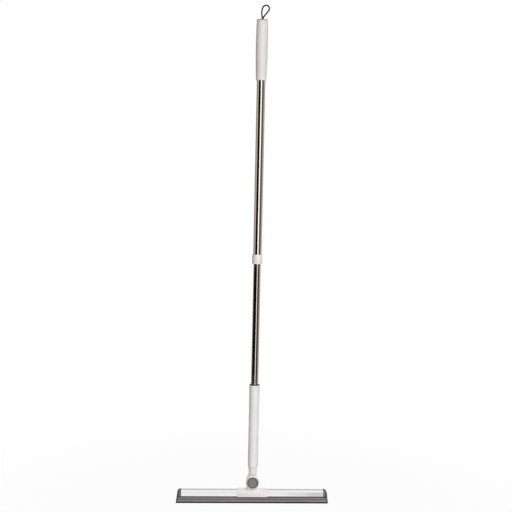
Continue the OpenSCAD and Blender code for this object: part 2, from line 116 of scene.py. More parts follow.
class Graph:
    """A shader node tree, with short calls that add nodes and join them."""

    def __init__(self, tree: bpy.types.NodeTree) -> None:
        """Keeps the tree of a material, a world or a node group, which nodes are added to."""
        self.tree = tree

    @classmethod
    def of(cls, owner: Any) -> "Graph":
        """The graph of a material or a world, emptied.

        Args:
            owner: The material or the world.

        Returns:
            The graph.
        """
        owner.use_nodes = True
        owner.node_tree.nodes.clear()
        return cls(owner.node_tree)

    def add(self, kind: str, inputs: Optional[dict] = None, **settings: Any) -> bpy.types.Node:
        """Adds one node.

        Args:
            kind: Blender's type name without its ShaderNode prefix.
            inputs: Input names or numbers, each with a value or a socket to join to it.
            settings: Properties of the node itself.

        Returns:
            The new node.
        """
        node = self.tree.nodes.new(kind if kind.startswith("Node") else "ShaderNode" + kind)
        for name, value in settings.items():
            setattr(node, name, value)
        for key, value in (inputs or {}).items():
            self.put(node.inputs[key], value)
        return node

    def put(self, socket: Socket, value: Any) -> None:
        """Joins a socket to an input, or sets the input's own value.

        Args:
            socket: The input.
            value: Another node's output, a number or a tuple.
        """
        if isinstance(value, bpy.types.NodeSocket):
            self.tree.links.new(value, socket)
        else:
            socket.default_value = value

    def maths(self, operation: str, a: Any, b: Any = 0.0, c: Any = 0.0) -> Socket:
        """The result of one sum on numbers or sockets, by Blender's name, such as MULTIPLY."""
        return self.add("Math", {0: a, 1: b, 2: c}, operation=operation).outputs[0]

    def weigh(self, a: Any, by_a: Any, b: Any, by_b: Any) -> Socket:
        """The sum of two numbers or sockets, each times its weight."""
        return self.maths("MULTIPLY_ADD", a, by_a, self.maths("MULTIPLY", b, by_b))

    def band(self, value: Socket, low: float, high: float, soft: float) -> Socket:
        """1 where a value lies from low to high, falling to 0 over the soft width outside that."""
        off = self.maths("ABSOLUTE", self.maths("SUBTRACT", value, (low + high) / 2))
        return self.ramp(off, (high - low) / 2, (high - low) / 2 + soft, 1.0, 0.0)

    def measure(self, at: Socket, kind: Measure) -> Socket:
        """A measure of the place on the part.

        Args:
            at: Object coordinates.
            kind: What is measured.

        Returns:
            The distance or height.
        """
        x, y, z = self.add("SeparateXYZ", {0: at}).outputs
        if kind is Measure.HEIGHT:
            return z
        if kind is Measure.ALONG_HEAD:
            return self.maths("ABSOLUTE", x)
        other = y if kind is Measure.FROM_POLE else self.maths("SUBTRACT", z, PIVOT_HEIGHT)
        return self.maths("SQRT", self.weigh(x, x, other, other))

    def ramp(self, value: Any, low: float, high: float, to_low: float = 0.0,
             to_high: float = 1.0) -> Socket:
        """A number mapped from one range to another, smoothly and within its ends."""
        values = dict(zip(range(5), (value, low, high, to_low, to_high)))
        return self.add("MapRange", values, interpolation_type="SMOOTHSTEP").outputs[0]

    def mix(self, factor: Any, a: Any, b: Any) -> Socket:
        """Mixes two colours.

        Args:
            factor: 0 for the first, 1 for the second.
            a: The first colour or socket.
            b: The second colour or socket.

        Returns:
            The mixed colour.
        """
        node = self.add("Mix", data_type="RGBA")
        for key, value in ((0, factor), (6, a), (7, b)):
            wide = isinstance(value, tuple) and len(value) == 3
            self.put(node.inputs[key], (*value, 1.0) if wide else value)
        return node.outputs[2]

    def scaled(self, vector: Socket, scale: Point) -> Socket:
        """A vector scaled along each axis."""
        return self.add("Mapping", {"Vector": vector, "Scale": scale}).outputs[0]

    def noise(self, vector: Socket, scale: Any, detail: float = 2.0) -> Socket:
        """Soft noise from 0 to 1, read at a vector, with some finer layers of detail."""
        return self.add("TexNoise", {"Vector": vector, "Scale": scale, "Detail": detail}).outputs[0]

    def effect(self, tree: bpy.types.NodeTree, vector: Socket, scale: float) -> Any:
        """The outputs of a shared effect, placed and read at a vector."""
        return self.add("Group", {"Vector": vector, "Scale": scale}, node_tree=tree).outputs


def start_effect(name: str, outs: Sequence[str]) -> Tuple[Graph, Socket, Socket, Any]:
    """Starts a node group that takes a Vector and a Scale.

    Args:
        name: The group's name.
        outs: Names of the values that it puts out.

    Returns:
        Its graph, the two inputs, and the sockets of its output node.
    """
    tree = bpy.data.node_groups.new(name, "ShaderNodeTree")
    for key, kind in (("Vector", "NodeSocketVector"), ("Scale", "NodeSocketFloat")):
        tree.interface.new_socket(name=key, in_out="INPUT", socket_type=kind)
    for key in outs:
        tree.interface.new_socket(name=key, in_out="OUTPUT", socket_type="NodeSocketFloat")
    graph = Graph(tree)
    ins = graph.add("NodeGroupInput").outputs
    return graph, ins["Vector"], ins["Scale"], graph.add("NodeGroupOutput").inputs


@cache
def moulded_grain() -> bpy.types.NodeTree:
    """The fine skin of a moulded piece, built once.

    Returns:
        A group with a soft Cloud from 0 to 1, and the Height of a fine pitted grain: small round
        cells, less a finer noise.
    """
    g, at, scale, outs = start_effect("moulded_grain", ("Cloud", "Height"))
    cells = g.add("TexVoronoi", {"Vector": at, "Scale": scale}).outputs[0]
    fine = g.noise(at, g.maths("MULTIPLY", scale, 1.7), 1.0)
    g.put(outs["Cloud"], g.ramp(g.noise(at, 14.0, 3.0), 0.3, 0.7))
    g.put(outs["Height"], g.weigh(cells, 0.8, fine, -0.4))
    return g.tree


@cache
def drawn_lines() -> bpy.types.NodeTree:
    """Fine drawn lines, which are noise stretched along one axis, built once.

    Returns:
        A group with the Lines from 0 to 1. Its vector comes in already stretched.
    """
    g, at, scale, outs = start_effect("drawn_lines", ("Lines",))
    fine = g.noise(at, g.maths("MULTIPLY", scale, 3.1))
    g.put(outs["Lines"], g.ramp(g.weigh(g.noise(at, scale), 0.6, fine, 0.4), 0.36, 0.64))
    return g.tree


@cache
def handling_marks() -> bpy.types.NodeTree:
    """Faint marks of use, broad smudges broken up by smaller ones, built once.

    Returns:
        A group with the Smudge from 0 to 1.
    """
    g, at, scale, outs = start_effect("handling_marks", ("Smudge",))
    broad = g.ramp(g.noise(at, scale, 4.0), 0.45, 0.75)
    small = g.ramp(g.noise(at, g.maths("MULTIPLY", scale, 6.0), 3.0), 0.25, 0.75)
    g.put(outs["Smudge"], g.maths("MULTIPLY", broad, small))
    return g.tree


@dataclass(frozen=True)
class Mark:
    """A place on a surface with a colour laid over it, which mostly paints shade or a highlight.

    It is full where each measure lies in its range, and fades over the soft edge outside it.

    Attributes:
        colour: Its colour.
        ranges: Measures, each with its range and the width of its soft edge, in millimetres.
        share: How much of its colour shows.
    """

    colour: Colour
    ranges: Tuple[Tuple[Measure, float, float, float], ...]
    share: float = 1.0


@dataclass(frozen=True)
class Finish:
    """A surface finish. Each kind builds its own material.

    Attributes:
        name: The material's name.
        tone: Main colour.
        shade: Colour that the main one drifts to.
        rough: Lowest and highest roughness.
        marks: Places with a colour laid over them, most of them painted shade or highlight.
    """

    name: str
    tone: Colour
    shade: Colour
    rough: Tuple[float, float]
    marks: Tuple[Mark, ...] = ()

    def start(self) -> Tuple[bpy.types.Material, Graph, bpy.types.Node, Socket]:
        """Makes the material, with its shader and the surface's Object coordinates.

        Returns:
            The material, its graph, the shader node and the coordinates.
        """
        material = bpy.data.materials.new(self.name)
        graph = Graph.of(material)
        material.diffuse_color = (*self.tone, 1.0)
        shader = graph.add("BsdfPrincipled")
        graph.add("OutputMaterial", {"Surface": shader.outputs[0]})
        return material, graph, shader, graph.add("TexCoord").outputs["Object"]

    def marked(self, g: Graph, at: Socket, colour: Socket) -> Socket:
        """Lays the marks over a colour, one after the other.

        Args:
            g: The material's graph.
            at: Object coordinates.
            colour: The colour so far.

        Returns:
            The changed colour.
        """
        for mark in self.marks:
            mask: Any = mark.share
            for kind, low, high, soft in mark.ranges:
                inside = g.band(g.measure(at, kind), low * MM, high * MM, soft * MM)
                mask = g.maths("MULTIPLY", inside, mask)
            colour = g.mix(mask, colour, mark.colour)
        return colour

    def bump(self, g: Graph, shader: bpy.types.Node, height: Socket, strength: float,
             depth: float) -> None:
        """Gives the shader a normal bumped by a height from 0 to 1, of a depth in metres."""
        node = g.add("Bump", {"Strength": strength, "Distance": depth, "Height": height})
        g.put(shader.inputs["Normal"], node.outputs[0])

    def build(self) -> bpy.types.Material:
        """Builds the material."""
        raise NotImplementedError


@dataclass(frozen=True)
class MouldedPlastic(Finish):
    """Injection moulded plastic: a soft drift of colour, faint smudges and a fine grain.

    Attributes:
        grain: Scale of the grain's cells.
        relief: How strongly the grain shows.
        depth: Depth of the grain.
        smudges: Scale of the smudges.
        dust: Colour of what settles on it.
        dusty: How much of the dust shows.
        ior: Index of refraction.
    """

    grain: float = 2200.0
    relief: float = 0.12
    depth: float = 0.05 * MM
    smudges: float = 26.0
    dust: Colour = (0.5, 0.48, 0.45)
    dusty: float = 0.08
    ior: float = 1.49

    def build(self) -> bpy.types.Material:
        """Mixes tone and shade by a cloud, adds marks and a little dust, and bumps the grain.

        Returns:
            The material.
        """
        material, g, shader, at = self.start()
        skin = g.effect(moulded_grain(), at, self.grain)
        smudge = g.effect(handling_marks(), at, self.smudges)["Smudge"]
        clean = self.marked(g, at, g.mix(skin["Cloud"], self.tone, self.shade))
        faint = g.maths("MULTIPLY", smudge, self.dusty)
        g.put(shader.inputs["Base Color"], g.mix(faint, clean, self.dust))
        uneven = g.maths("ADD", skin["Cloud"], smudge)
        g.put(shader.inputs["Roughness"], g.ramp(uneven, 0.0, 1.6, *self.rough))
        shader.inputs["IOR"].default_value = self.ior
        self.bump(g, shader, skin["Height"], self.relief, self.depth)
        return material


@dataclass(frozen=True)
class DrawnMetal(Finish):
    """Polished tube, extruded channel or turned fasteners: lines along the way it was drawn.

    Attributes:
        axis: The way the lines run.
        lines: Scale of the lines.
        stretch: Scale along them, as a share of the scale across.
        relief: How strongly they show.
        depth: Their depth.
        smudges: Scale of the marks of use.
        smudge: How much these roughen it.
    """

    axis: Axis = Axis.UP_POLE
    lines: float = 900.0
    stretch: float = 0.004
    relief: float = 0.05
    depth: float = 0.03 * MM
    smudges: float = 22.0
    smudge: float = 0.5

    def build(self) -> bpy.types.Material:
        """Stretches noise along the axis for tone, roughness and bump, and adds smudges.

        Returns:
            The material.
        """
        material, g, shader, at = self.start()
        scale = [1.0, 1.0, 1.0]
        scale[self.axis.value] = self.stretch
        drawn = g.effect(drawn_lines(), g.scaled(at, tuple(scale)), self.lines)["Lines"]
        smudge = g.effect(handling_marks(), at, self.smudges)["Smudge"]
        colour = self.marked(g, at, g.mix(drawn, self.shade, self.tone))
        g.put(shader.inputs["Base Color"], colour)
        uneven = g.weigh(drawn, 0.7, smudge, self.smudge)
        g.put(shader.inputs["Roughness"], g.ramp(uneven, 0.0, 1.2, *self.rough))
        shader.inputs["Metallic"].default_value = 1.0
        self.bump(g, shader, drawn, self.relief, self.depth)
        return material


@dataclass(frozen=True)
class BladeRubber(Finish):
    """Moulded rubber: matt, dusty, with a dark lip and painted shade on the lip and the ends.

    Attributes:
        grain: Scale of the grain's cells.
        relief: How strongly the grain shows.
        depth: Depth of the grain.
        smudges: Scale of the patches of dust.
        dust: Colour of the dust.
        dusty: How much of the dust shows.
        lip: Colour of the dark lip, with painted shade above it, and of painted shade at the ends.
        lip_shade_fade: Heights between which the lip's colour and painted shade fade out.
        end_shade_fade: Distances from the middle between which the ends' painted shade comes in.
        end_shade_share: How much of that painted shade shows.
        specular: Level of the surface's shine.
    """

    grain: float = 900.0
    relief: float = 0.15
    depth: float = 0.08 * MM
    smudges: float = 60.0
    dust: Colour = (0.38, 0.36, 0.355)
    dusty: float = 0.22
    lip: Colour = (0.024, 0.022, 0.022)
    lip_shade_fade: Tuple[float, float] = (4.24 * MM, 7.95 * MM)
    end_shade_fade: Tuple[float, float] = (BLADE_HALF - 7.0 * MM, BLADE_HALF - 3.5 * MM)
    end_shade_share: float = 0.75
    specular: float = 0.35

    def build(self) -> bpy.types.Material:
        """Adds dust, a dark lip, painted shade in marks, on the lip and ends, and a fine grain.

        Returns:
            The material.
        """
        material, g, shader, at = self.start()
        skin = g.effect(moulded_grain(), at, self.grain)
        smudge = g.effect(handling_marks(), at, self.smudges)["Smudge"]
        body = g.mix(skin["Cloud"], self.tone, self.shade)
        dusty = g.mix(g.maths("MULTIPLY", smudge, self.dusty), body, self.dust)
        # The lip's dark colour, which also paints the shade under the lower bead, and painted shade
        # at the ends.
        low = g.ramp(g.measure(at, Measure.HEIGHT), *self.lip_shade_fade, 1.0, 0.0)
        far = g.ramp(g.measure(at, Measure.ALONG_HEAD), *self.end_shade_fade, 0.0, self.end_shade_share)
        colour = g.mix(g.maths("MAXIMUM", low, far), self.marked(g, at, dusty), self.lip)
        g.put(shader.inputs["Base Color"], colour)
        g.put(shader.inputs["Roughness"], g.ramp(skin["Cloud"], 0.0, 1.0, *self.rough))
        shader.inputs["Specular IOR Level"].default_value = self.specular
        self.bump(g, shader, skin["Height"], self.relief, self.depth)
        return material


@dataclass(frozen=True)
class BraidedCord(Finish):
    """Braided polyester cord. The braid's own crowns are in its mesh, and its UV map follows it.

    Attributes:
        flecks: How often the tone changes round and along the cord.
        fibres: How often a fibre shows round and along it.
        relief: How strongly the fibres show.
        depth: Their depth.
        specular: Level of the surface's shine.
        sheen: Weight and roughness of its sheen.
    """

    flecks: Point = (8.0, 90.0, 1.0)
    fibres: Point = (160.0, 30.0, 1.0)
    relief: float = 0.3
    depth: float = 0.05 * MM
    specular: float = 0.15
    sheen: Tuple[float, float] = (0.02, 0.4)

    def build(self) -> bpy.types.Material:
        """Fibres are noise stretched along the cord, and a fleck per strand varies the tone.

        Returns:
            The material.
        """
        material, g, shader, _ = self.start()
        uv = g.add("UVMap", uv_map="along").outputs[0]
        fleck = g.noise(g.scaled(uv, self.flecks), 1.0, 1.0)
        fibre = g.noise(g.scaled(uv, self.fibres), 1.0)
        tone = g.ramp(g.weigh(fleck, 0.6, fibre, 0.4), 0.35, 0.65)
        g.put(shader.inputs["Base Color"], g.mix(tone, self.shade, self.tone))
        g.put(shader.inputs["Roughness"], g.ramp(fibre, 0.2, 0.8, *self.rough))
        shader.inputs["Specular IOR Level"].default_value = self.specular
        shader.inputs["Sheen Weight"].default_value = self.sheen[0]
        shader.inputs["Sheen Roughness"].default_value = self.sheen[1]
        self.bump(g, shader, fibre, self.relief, self.depth)
        return material


# Painted shade: dark lines along the channel's face, at its creases.
CHANNEL_CREASE_SHADE = (0.42, 0.41, 0.40)
# Painted shade: the blade's groove between its beads, and under the channel's overhang.
RUBBER_HOLLOW_SHADE = (0.12, 0.108, 0.106)
# Painted shade: the disc's rim and the groove of the fine ring on its face.
DISC_PAINTED_SHADE = (0.085, 0.083, 0.082)
FINISHES = {
    Slot.WHITE_PLASTIC: MouldedPlastic(
        "satin_white", (0.80, 0.765, 0.766), (0.765, 0.73, 0.731), (0.34, 0.46), relief=0.025),
    Slot.STAINLESS: DrawnMetal(
        "polished_stainless", (0.66, 0.635, 0.60), (0.60, 0.575, 0.54), (0.09, 0.13),
        lines=1400.0, relief=0.012, smudge=0.15),
    Slot.FASTENER: DrawnMetal(
        "turned_steel", (0.56, 0.56, 0.56), (0.44, 0.44, 0.45), (0.22, 0.4)),
    Slot.ALUMINIUM: DrawnMetal(
        "satin_aluminium", (0.91, 0.905, 0.90), (0.86, 0.855, 0.85), (0.20, 0.30),
        # Two painted shade lines along the face's creases.
        (Mark(CHANNEL_CREASE_SHADE, ((Measure.HEIGHT, 26.9, 27.5, 0.3),), 0.3),
         Mark(CHANNEL_CREASE_SHADE, ((Measure.HEIGHT, 31.8, 32.4, 0.3),), 0.6)),
        axis=Axis.ALONG_BLADE, lines=1100.0, relief=0.015, smudge=0.2),
    Slot.GREY_RUBBER: BladeRubber(
        "blade_rubber", (0.27, 0.25, 0.245), (0.23, 0.212, 0.208), (0.5, 0.66),
        # Painted shade in the groove between the beads, and under the channel.
        (Mark(RUBBER_HOLLOW_SHADE, ((Measure.HEIGHT, 10.3, 12.1, 1.2),), 0.55),
         Mark(RUBBER_HOLLOW_SHADE, ((Measure.HEIGHT, 17.2, 23.2, 1.2),), 0.9))),
    Slot.GREY_PLASTIC: MouldedPlastic(
        "cap_grey", (0.034, 0.033, 0.0325), (0.028, 0.0275, 0.027), (0.34, 0.48),
        # Painted highlight: a pale band at the step from the flange into the waist.
        (Mark((0.26, 0.255, 0.25), ((Measure.ALONG_HEAD, 190.0, 191.6, 0.6),)),), grain=1500.0),
    Slot.BLACK_RUBBER: MouldedPlastic(
        "ring_rubber", (0.022, 0.021, 0.021), (0.016, 0.016, 0.016), (0.55, 0.75),
        grain=900.0, relief=0.2),
    Slot.INNER_NYLON: MouldedPlastic(
        "pale_nylon", (0.70, 0.67, 0.58), (0.62, 0.59, 0.50), (0.45, 0.62)),
    Slot.BLACK_NYLON: MouldedPlastic(
        "dark_nylon", (0.035, 0.035, 0.036), (0.025, 0.025, 0.026), (0.4, 0.55)),
    Slot.CORD: BraidedCord(
        "braided_cord", (0.022, 0.021, 0.022), (0.009, 0.009, 0.009), (0.65, 0.85)),
}
# The discs have painted shade on the rim and in the fine ring groove of the face, and a white outer
# wall.
DISC_FINISH = MouldedPlastic(
    "disc_grey", (0.205, 0.203, 0.200), (0.18, 0.178, 0.175), (0.40, 0.55),
    (Mark(DISC_PAINTED_SHADE, ((Measure.FROM_PIVOT, 11.4, 20.0, 0.6),)),
     Mark(DISC_PAINTED_SHADE, ((Measure.FROM_PIVOT, 4.9, 5.9, 0.4),), 0.6),
     Mark((0.79, 0.755, 0.756), ((Measure.FROM_PIVOT, 14.7, 20.0, 0.2),))), grain=1500.0)
# The round upper edge of the grip's end cap has painted shade, in grey.
GRIP_RIM_SHADE_FINISH = replace(FINISHES[Slot.WHITE_PLASTIC], name="rim_white_painted_shade", marks=(
    Mark((0.22, 0.216, 0.214), ((Measure.HEIGHT, 1252.5, 1260.0, 0.8),
                                (Measure.FROM_POLE, 12.6, 20.0, 0.8))),))


@cache
def paint(finish: Finish) -> bpy.types.Material:
    """The material of a finish, built when it is first asked for."""
    return finish.build()


def dress(nodes: Iterable[str], slot: Slot, finish: Optional[Finish] = None) -> None:
    """Gives CAD nodes the finish of a slot.

    Args:
        nodes: Their names.
        slot: The slot.
        finish: Another finish than the slot's own.
    """
    for name in nodes:
        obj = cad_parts[name]
        obj.data.materials.clear()
        obj.data.materials.append(paint(finish or FINISHES[slot]))
        log.info("%s: %s", name, slot.value)


def grid_quads(rows: int, columns: int, ring: bool) -> np.ndarray:
    """Faces of a grid of points. Face (i, j) joins rows i and i + 1 between places j and j + 1.

    Args:
        rows: Rows of points.
        columns: Points in each row.
        ring: Whether the last place of a row joins its first.

    Returns:
        The points of each face, as an array of faces by four.
    """
    i, j = np.meshgrid(np.arange(rows - 1), np.arange(columns if ring else columns - 1),
                       indexing="ij")
    k = (j + 1) % columns
    return np.stack([i * columns + j, i * columns + k, (i + 1) * columns + k,
                     (i + 1) * columns + j], axis=-1).reshape(-1, 4)


def closed_tube(name: str, rings: np.ndarray, uv_v: np.ndarray) -> bpy.types.Mesh:
    """A tube from rings of points, closed at both ends by a fan round each end's middle.

    The rings are the rows of one grid, whose last place joins the first.

    Args:
        name: The mesh's name.
        rings: Points, as an array of rings by places by three.
        uv_v: The V coordinate of each ring.

    Returns:
        The mesh, with the UV map "along".
    """
    count, around = rings.shape[:2]
    verts = np.concatenate([rings.reshape(-1, 3), rings[[0, -1]].mean(axis=1)])
    place = np.arange(around)
    follow = (place + 1) % around
    first, last = count * around, count * around + 1
    base = (count - 1) * around
    fans = np.concatenate([np.stack([np.full(around, first), follow, place], axis=-1),
                           np.stack([np.full(around, last), base + place, base + follow], axis=-1)])
    mesh = bpy.data.meshes.new(name)
    mesh.from_pydata(verts, [], grid_quads(count, around, True).tolist() + fans.tolist())
    i, j = np.divmod(np.arange(base), around)
    u = np.stack([j, j + 1, j + 1, j], axis=-1) / around
    v = np.stack([uv_v[i], uv_v[i], uv_v[i + 1], uv_v[i + 1]], axis=-1)
    side = np.stack([u, v], axis=-1).reshape(-1, 2)
    caps = np.repeat([[0.5, uv_v[0]], [0.5, uv_v[-1]]], around * 3, axis=0)
    layer = mesh.uv_layers.new(name="along")
    layer.data.foreach_set("uv", np.concatenate([side, caps]).astype(np.float32).ravel())
    return mesh


def new_piece(name: str, mesh: bpy.types.Mesh, body: Body, slot: Slot, node: str,
              finish: Optional[Finish] = None) -> bpy.types.Object:
    """Puts a mesh in the scene as the piece that stands for a CAD node.

    Args:
        name: The piece's name.
        mesh: Its mesh, in the part's frame.
        body: The body it rides on.
        slot: The slot it takes its finish from.
        node: The node it replaces.
        finish: Another finish than the slot's own.

    Returns:
        The piece.
    """
    mesh.polygons.foreach_set("use_smooth", np.ones(len(mesh.polygons), dtype=bool))
    mesh.materials.append(paint(finish or FINISHES[slot]))
    mesh.update()
    piece = bpy.data.objects.new(name, mesh)
    bpy.context.scene.collection.objects.link(piece)
    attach(piece, body.value)
    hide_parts(node)
    log.info("%s replaces %s", name, node)
    return piece


def soft_edged(name: str, node: str, body: Body, slot: Slot, width: float) -> None:
    """Makes a copy of a CAD node whose sharp edges are rounded, as a moulding's are.

    The copy's doubles are merged and its flat faces joined. Each sharp edge then gets a round of
    two steps.

    Args:
        name: The piece's name.
        node: The node it replaces.
        body: The body it rides on.
        slot: The slot it takes its finish from.
        width: How far the round reaches from the edge.
    """
    mesh = bpy.data.meshes.new(name)
    shell = bmesh.new()
    shell.from_mesh(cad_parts[node].data)
    bmesh.ops.remove_doubles(shell, verts=shell.verts, dist=SAME_POINT)
    bmesh.ops.dissolve_limit(shell, angle_limit=FLAT_ANGLE, verts=shell.verts, edges=shell.edges)
    shell.to_mesh(mesh)
    shell.free()
    edges = new_piece(name, mesh, body, slot, node).modifiers.new("edges", "BEVEL")
    edges.width = width
    edges.segments = 2
    edges.limit_method = "ANGLE"
    edges.angle_limit = SHARP_ANGLE
    edges.use_clamp_overlap = False
    edges.harden_normals = True


def rounded(corners: Sequence[Tuple[float, float]], step: float, reach: float) -> np.ndarray:
    """An open outline through corners, read at even steps, with its corners rounded.

    Each point becomes the mean of the outline within the reach of it, twice over. Past its ends
    the outline is carried on by its point reflection, so the two ends stay where they are.

    Args:
        corners: The corners in millimetres, as pairs.
        step: Distance between points, in millimetres.
        reach: Half the width of the mean, in millimetres.

    Returns:
        The points in metres, as an array of points by two.
    """
    corners = np.array(corners, dtype=float)
    gone = np.concatenate([[0.0], np.cumsum(np.linalg.norm(np.diff(corners, axis=0), axis=1))])
    even = np.linspace(0.0, gone[-1], int(round(gone[-1] / step)) + 1)
    line = np.stack([np.interp(even, gone, corners[:, k]) for k in range(2)], axis=1)
    half = max(1, int(round(reach / step)))
    kernel = np.full(2 * half + 1, 1.0 / (2 * half + 1))
    for _ in range(2):
        wide = np.concatenate([2 * line[0] - line[half:0:-1], line,
                               2 * line[-1] - line[-2:-half - 2:-1]])
        line = np.stack([np.convolve(wide[:, k], kernel, mode="valid") for k in range(2)], axis=1)
    return line * MM


def loft(name: str, halves: np.ndarray) -> bpy.types.Mesh:
    """A closed solid from half outlines along X, each mirrored across the plane Y = 0.

    Each half outline starts and ends on that plane. A half and its mirror image are a ring, and
    the rings are the rows of one grid. The two ends are closed by strips across the plane, from
    each half to its mirror image.

    Args:
        name: The mesh's name.
        halves: Points, as an array of stations by places by three, in the order of rising X.

    Returns:
        The mesh.
    """
    stations, half = halves.shape[:2]
    mirrored = halves[:, -2:0:-1] * np.array([1.0, -1.0, 1.0])
    rings = np.concatenate([halves, mirrored], axis=1)
    around = rings.shape[1]
    p = np.arange(1, half - 2)
    strip = np.stack([p, around - p, around - p - 1, p + 1], axis=-1)
    tips = np.array([[0, around - 1, 1], [half - 2, half, half - 1]])
    last = (stations - 1) * around
    ends = strip.tolist() + tips.tolist()
    ends += (strip[:, ::-1] + last).tolist() + (tips[:, ::-1] + last).tolist()
    mesh = bpy.data.meshes.new(name)
    sides = grid_quads(stations, around, True).tolist()
    mesh.from_pydata(rings.reshape(-1, 3), [], sides + ends)
    return mesh


def smooth_line(points: np.ndarray, step: float) -> np.ndarray:
    """A line through points, at even steps.

    Between two points it is the Catmull-Rom cubic of the four points round them. The dense cubic
    is then read at equal distances along its length.

    Args:
        points: The points, the first and last of which it starts and ends at.
        step: Distance between the points of the line.

    Returns:
        The line's points.
    """
    ends = np.concatenate([[2 * points[0] - points[1]], points, [2 * points[-1] - points[-2]]])
    t = np.linspace(0.0, 1.0, 24, endpoint=False)[None, :, None]
    a, b, c, d = (ends[k:len(ends) - 3 + k][:, None, :] for k in range(4))
    cubic = 0.5 * (2 * b + (c - a) * t + (2 * a - 5 * b + 4 * c - d) * t ** 2
                   + (3 * b - a - 3 * c + d) * t ** 3)
    dense = np.concatenate([cubic.reshape(-1, 3), points[-1:]])
    gone = np.concatenate([[0.0], np.cumsum(np.linalg.norm(np.diff(dense, axis=0), axis=1))])
    even = np.linspace(0.0, gone[-1], max(2, int(round(gone[-1] / step))) + 1)
    return np.stack([np.interp(even, gone, dense[:, k]) for k in range(3)], axis=1)


def line_length(line: np.ndarray) -> float:
    """The length of a line of points."""
    return float(np.linalg.norm(np.diff(line, axis=0), axis=1).sum())


def v_along(line: np.ndarray) -> np.ndarray:
    """The V coordinates of a line of even steps, which grow with its length."""
    return np.linspace(0.0, line_length(line) / CORD_PER_V, len(line))


def braided_rings(line: np.ndarray, normal: np.ndarray, radius: float, strands: int,
                  pitch: float, relief: float, around: int) -> np.ndarray:
    """Rings of a braided cord along a line.

    Two families of strands wind opposite ways: a = N q + s / p and b = N q - s / p, where q is
    the turn round the cord and s the distance along it. In each diamond between whole values of
    a and b one family lies on top, in turns like a chessboard, and its crown is the parabola
    1 - (2 f - 1)^2 across the strand, times the root of the sine of the way along it. The radius
    is the cord's own at the crowns, and less by the relief between them.

    Args:
        line: Middle line.
        normal: A direction for each point of the line, across the cord.
        radius: The cord's radius at the crowns.
        strands: Strands in each family.
        pitch: Distance along the cord from one strand to the next.
        relief: Depth between the crowns.
        around: Points round the cord.

    Returns:
        Points, as an array of rings by places by three.
    """
    ahead = np.gradient(line, axis=0)
    ahead /= np.linalg.norm(ahead, axis=1, keepdims=True)
    side = normal - (normal * ahead).sum(axis=1, keepdims=True) * ahead
    side /= np.linalg.norm(side, axis=1, keepdims=True)
    up = np.cross(ahead, side)
    along = np.concatenate([[0.0], np.cumsum(np.linalg.norm(np.diff(line, axis=0), axis=1))])
    q = np.arange(around) / around
    a = strands * q[None, :] + along[:, None] / pitch
    b = strands * q[None, :] - along[:, None] / pitch + 1000.0
    fa, fb = a % 1.0, b % 1.0
    even = (np.floor(a) + np.floor(b)) % 2.0 < 0.5
    across, onward = np.where(even, fa, fb), np.where(even, fb, fa)
    crown = (1 - (2 * across - 1) ** 2) * np.sqrt(np.sin(np.pi * onward).clip(0.0))
    r = radius - relief + relief * crown
    angle = 2 * np.pi * q
    out = (np.cos(angle)[None, :, None] * side[:, None, :]
           + np.sin(angle)[None, :, None] * up[:, None, :])
    return line[:, None, :] + r[:, :, None] * out


